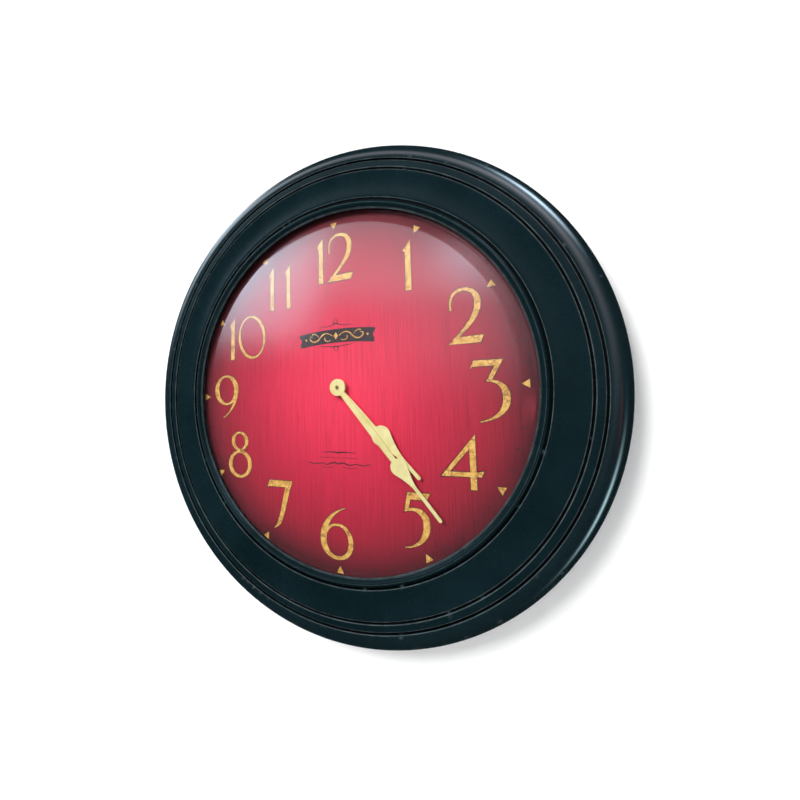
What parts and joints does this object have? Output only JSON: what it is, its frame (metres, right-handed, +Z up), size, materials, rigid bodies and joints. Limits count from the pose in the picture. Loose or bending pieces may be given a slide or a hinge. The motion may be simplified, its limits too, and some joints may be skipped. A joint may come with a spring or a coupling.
{
  "type": "wall clock",
  "caption": "Round wall clock with a moulded black wooden ring, domed glass, a red dial with gold numerals, two spade hands and a battery quartz movement.",
  "frame": {"origin": "on the axis of the hands, in the plane of the ring's back face, which rests on the wall", "axes": "+Y into the wall along the hands' axis, so the front faces -Y; +Z up, towards 12"},
  "size_m": [0.6469, 0.0584, 0.647],
  "materials": {
    "black_lacquered_wood": "black lacquer, satin, rubbed edges",
    "clear_glass": "polished convex glass",
    "black_rubber": "matt",
    "black_plastic": "fine moulded texture",
    "fibre_board": "raw fibre board",
    "red_dial_print": "brushed crimson print, darker to the rim",
    "gold_foil": "worn gold print",
    "black_ink": "printed black",
    "zinc_steel": "bright zinc",
    "brass": "satin",
    "green_board": "solder mask",
    "black_resin": "potted",
    "blue_plastic": "moulded",
    "copper_wire": "enamelled winding",
    "core_steel": "stamped",
    "cell_jacket": "printed jacket",
    "white_plastic": "moulded",
    "magnet": "sintered",
    "gold_hands": "pale gold, satin"
  },
  "bodies": {
    "clock_body": {"frame_ring": "black_lacquered_wood", "back_ring": "black_lacquered_wood", "lens_glass": "clear_glass", "lens_gasket": "black_rubber", "lens_spacer": "black_plastic", "dial_board": "fibre_board", "dial_face": "red_dial_print", "numerals": "gold_foil", "hour_markers": "gold_foil", "minute_ticks": "black_ink", "dial_plaque": "black_ink", "plaque_scroll": "gold_foil", "dial_flourishes": "black_ink", "retaining_clips": "zinc_steel", "clip_screws": "zinc_steel", "hanger_plate": "zinc_steel", "hanger_screws": "zinc_steel", "movement_case": "black_plastic", "movement_cover": "black_plastic", "middle_plate": "black_plastic", "threaded_bushing": "brass", "rubber_washer": "black_rubber", "brass_washer": "brass", "hex_nut": "brass", "circuit_board": "green_board", "clock_chip": "black_resin", "quartz_crystal": "zinc_steel", "coil_bobbin": "blue_plastic", "coil_winding": "copper_wire", "coil_core": "core_steel", "stator": "core_steel", "battery_cell": "cell_jacket", "contact_positive": "zinc_steel", "contact_negative": "zinc_steel"},
    "minute_group": {"minute_hand": "gold_hands", "minute_arbor": "brass", "minute_collet": "brass", "hand_nut": "brass", "centre_wheel": "white_plastic"},
    "hour_group": {"hour_hand": "gold_hands", "hour_collet": "brass", "hour_wheel": "white_plastic"},
    "transfer_group": {"transfer_wheel": "white_plastic"},
    "knob_group": {"setting_knob": "black_plastic"},
    "third_group": {"third_wheel": "white_plastic"},
    "seconds_group": {"seconds_wheel": "white_plastic"},
    "intermediate_group": {"intermediate_wheel": "white_plastic"},
    "rotor_group": {"rotor_pinion": "white_plastic", "rotor_magnet": "magnet"}
  },
  "joints": [
    {"name": "minute_hand_turn", "type": "hinge", "parent": "clock_body", "child": "minute_group", "pos_m": [0, -0.034, 0], "axis": [0, 1, 0], "continuous": true},
    {"name": "hour_hand_turn", "type": "hinge", "parent": "clock_body", "child": "hour_group", "pos_m": [0, -0.03, 0], "axis": [0, 1, 0], "continuous": true},
    {"name": "transfer_wheel_turn", "type": "hinge", "parent": "clock_body", "child": "transfer_group", "pos_m": [0.00585, -0.019, 0.00836], "axis": [0, 1, 0], "continuous": true},
    {"name": "setting_knob_turn", "type": "hinge", "parent": "clock_body", "child": "knob_group", "pos_m": [0.0127, -0.01, 0.01521], "axis": [0, 1, 0], "continuous": true},
    {"name": "third_wheel_turn", "type": "hinge", "parent": "clock_body", "child": "third_group", "pos_m": [0.01152, -0.014, 0], "axis": [0, 1, 0], "continuous": true},
    {"name": "seconds_wheel_turn", "type": "hinge", "parent": "clock_body", "child": "seconds_group", "pos_m": [0, -0.012, 0], "axis": [0, 1, 0], "continuous": true},
    {"name": "intermediate_wheel_turn", "type": "hinge", "parent": "clock_body", "child": "intermediate_group", "pos_m": [-0.01103, -0.011, 0.00194], "axis": [0, 1, 0], "continuous": true},
    {"name": "rotor_turn", "type": "hinge", "parent": "clock_body", "child": "rotor_group", "pos_m": [-0.01448, -0.012, 0.01142], "axis": [0, 1, 0], "continuous": true}
  ],
  "couplings": [
    {"joint": "hour_hand_turn", "follows": "minute_hand_turn", "ratio": 0.083333},
    {"joint": "transfer_wheel_turn", "follows": "minute_hand_turn", "ratio": -0.33333},
    {"joint": "setting_knob_turn", "follows": "minute_hand_turn", "ratio": 1.25},
    {"joint": "third_wheel_turn", "follows": "minute_hand_turn", "ratio": -8},
    {"joint": "seconds_wheel_turn", "follows": "minute_hand_turn", "ratio": 60},
    {"joint": "intermediate_wheel_turn", "follows": "minute_hand_turn", "ratio": -360},
    {"joint": "rotor_turn", "follows": "minute_hand_turn", "ratio": 1800}
  ]
}
